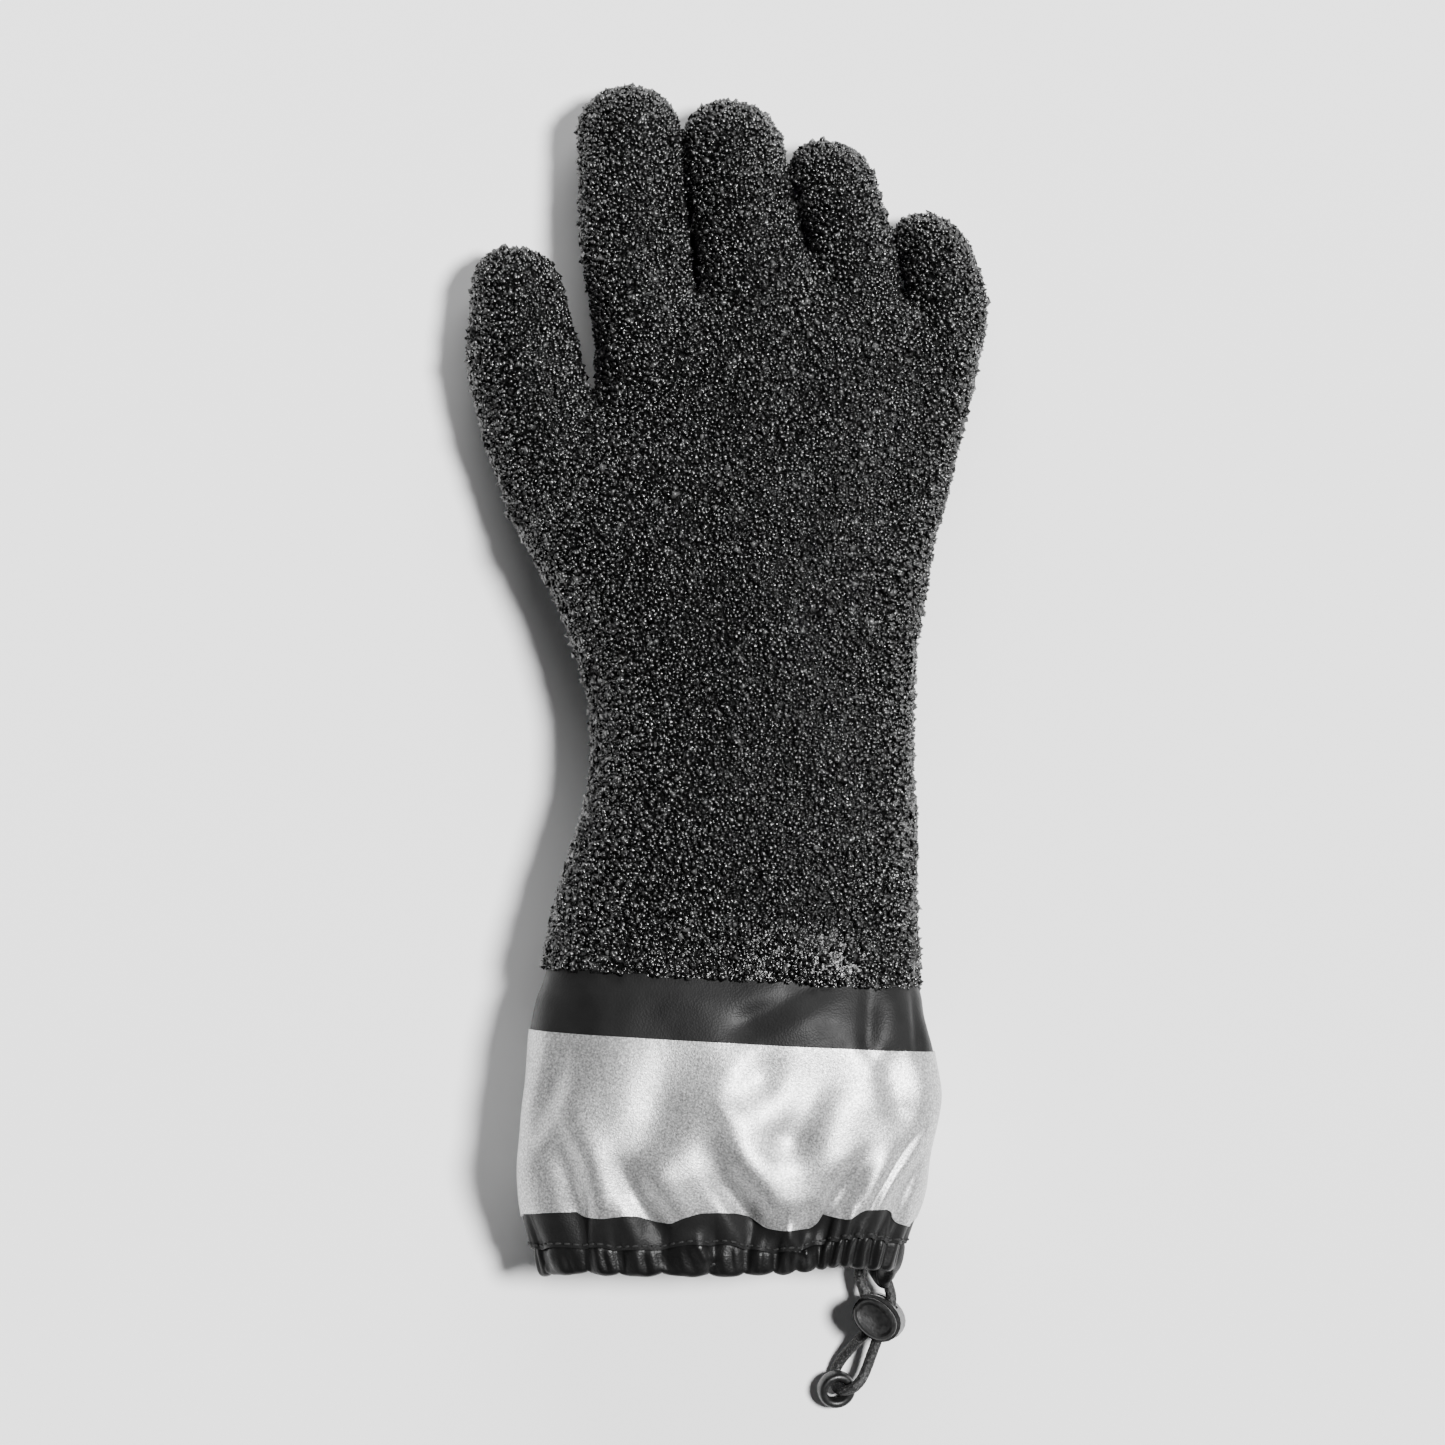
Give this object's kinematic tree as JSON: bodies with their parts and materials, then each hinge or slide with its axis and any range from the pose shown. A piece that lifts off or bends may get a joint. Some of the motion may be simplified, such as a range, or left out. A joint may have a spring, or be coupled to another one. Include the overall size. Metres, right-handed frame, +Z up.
{
  "type": "insulated gauntlet glove",
  "caption": "Black insulated gauntlet glove with granulated grip coat, jointed fingers, reflective cloth cuff and drawcord with sprung cord lock.",
  "frame": {"origin": "on the surface the glove lies on, below the middle of the glove's box, its free cord, cord lock and end ring not counted", "axes": "+Y from the cuff to the fingertips, +Z up out of the back of the hand, +X towards the little finger; the glove lies palm down"},
  "size_m": [0.173, 0.4446, 0.0618],
  "materials": {
    "pvc": "granulated PVC dip, semi-gloss",
    "pile": "knitted insulating pile, matt",
    "cloth": "polyurethane coated cloth, satin",
    "reflector": "glass bead reflective cloth, silver grey",
    "tape": "bonded tape, matt",
    "thread": "sewing thread, matt",
    "cord": "braided polyester, matt",
    "plastic": "moulded, semi-gloss",
    "steel": "spring wire"
  },
  "bodies": {
    "gauntlet": {"gauntlet_shell": "pvc", "gauntlet_liner": "pile", "bonding_tape": "tape", "join_stitching": "thread", "cuff_sleeve": "cloth", "reflective_band": "reflector", "hem_channel": "cloth", "hem_stitching": "thread", "drawcord_hem": "cord", "drawcord_loop": "cord", "cord_end_ring": "plastic"},
    "palm": {"palm_shell": "pvc", "palm_liner": "pile"},
    "index_base": {"index_base_shell": "pvc", "index_base_liner": "pile"},
    "index_tip": {"index_tip_shell": "pvc", "index_tip_liner": "pile"},
    "middle_base": {"middle_base_shell": "pvc", "middle_base_liner": "pile"},
    "middle_tip": {"middle_tip_shell": "pvc", "middle_tip_liner": "pile"},
    "ring_base": {"ring_base_shell": "pvc", "ring_base_liner": "pile"},
    "ring_tip": {"ring_tip_shell": "pvc", "ring_tip_liner": "pile"},
    "little_base": {"little_base_shell": "pvc", "little_base_liner": "pile"},
    "little_tip": {"little_tip_shell": "pvc", "little_tip_liner": "pile"},
    "thumb_base": {"thumb_base_shell": "pvc", "thumb_base_liner": "pile"},
    "thumb_tip": {"thumb_tip_shell": "pvc", "thumb_tip_liner": "pile"},
    "cord_lock": {"cord_lock_barrel": "plastic", "cord_lock_spring": "steel"},
    "cord_lock_button": {"cord_lock_plunger": "plastic"}
  },
  "joints": [
    {"name": "wrist", "type": "hinge", "parent": "gauntlet", "child": "palm", "pos_m": [0.0002, -0.01585, 0.026], "axis": [-1, 0, 0], "range_deg": [-20, 20], "stiffness_Nm_per_rad": 1.5},
    {"name": "index_knuckle", "type": "hinge", "parent": "palm", "child": "index_base", "pos_m": [-0.0285, 0.13007, 0.006], "axis": [-1, 0, 0], "range_deg": [-10, 60], "stiffness_Nm_per_rad": 0.4},
    {"name": "index_joint", "type": "hinge", "parent": "index_base", "child": "index_tip", "pos_m": [-0.03107, 0.16385, 0.006], "axis": [-1, 0, 0], "range_deg": [-5, 60], "stiffness_Nm_per_rad": 0.3},
    {"name": "middle_knuckle", "type": "hinge", "parent": "palm", "child": "middle_base", "pos_m": [0.0084, 0.13864, 0.006], "axis": [-1, 0, 0], "range_deg": [-10, 60], "stiffness_Nm_per_rad": 0.4},
    {"name": "middle_joint", "type": "hinge", "parent": "middle_base", "child": "middle_tip", "pos_m": [0.00496, 0.16685, 0.006], "axis": [-1, 0, 0], "range_deg": [-5, 60], "stiffness_Nm_per_rad": 0.3},
    {"name": "ring_knuckle", "type": "hinge", "parent": "palm", "child": "ring_base", "pos_m": [0.0431, 0.13527, 0.006], "axis": [-1, 0, 0], "range_deg": [-10, 60], "stiffness_Nm_per_rad": 0.4},
    {"name": "ring_joint", "type": "hinge", "parent": "ring_base", "child": "ring_tip", "pos_m": [0.03909, 0.15785, 0.006], "axis": [-1, 0, 0], "range_deg": [-5, 60], "stiffness_Nm_per_rad": 0.3},
    {"name": "little_knuckle", "type": "hinge", "parent": "palm", "child": "little_base", "pos_m": [0.0734, 0.12327, 0.006], "axis": [-1, 0, 0], "range_deg": [-10, 60], "stiffness_Nm_per_rad": 0.4},
    {"name": "little_joint", "type": "hinge", "parent": "little_base", "child": "little_tip", "pos_m": [0.07074, 0.14035, 0.006], "axis": [-1, 0, 0], "range_deg": [-5, 60], "stiffness_Nm_per_rad": 0.3},
    {"name": "thumb_saddle", "type": "hinge", "parent": "palm", "child": "thumb_base", "pos_m": [-0.0583, 0.07435, 0.006], "axis": [-0.5429, -0.8398, 0], "range_deg": [-10, 35], "stiffness_Nm_per_rad": 0.5},
    {"name": "thumb_joint", "type": "hinge", "parent": "thumb_base", "child": "thumb_tip", "pos_m": [-0.0686, 0.11585, 0.006], "axis": [-1, 0, 0], "range_deg": [-5, 60], "stiffness_Nm_per_rad": 0.3},
    {"name": "cord_lock_slide", "type": "slide", "parent": "gauntlet", "child": "cord_lock", "axis": [0, -1, 0], "range_m": [-0.003, 0.006], "deforming": ["drawcord_loop"]},
    {"name": "cord_lock_press", "type": "slide", "parent": "cord_lock", "child": "cord_lock_button", "axis": [0.1564, 0, -0.9877], "range_m": [0, 0.0025], "stiffness_N_per_m": 150, "springref_m": -0.003, "deforming": ["cord_lock_spring"]}
  ]
}
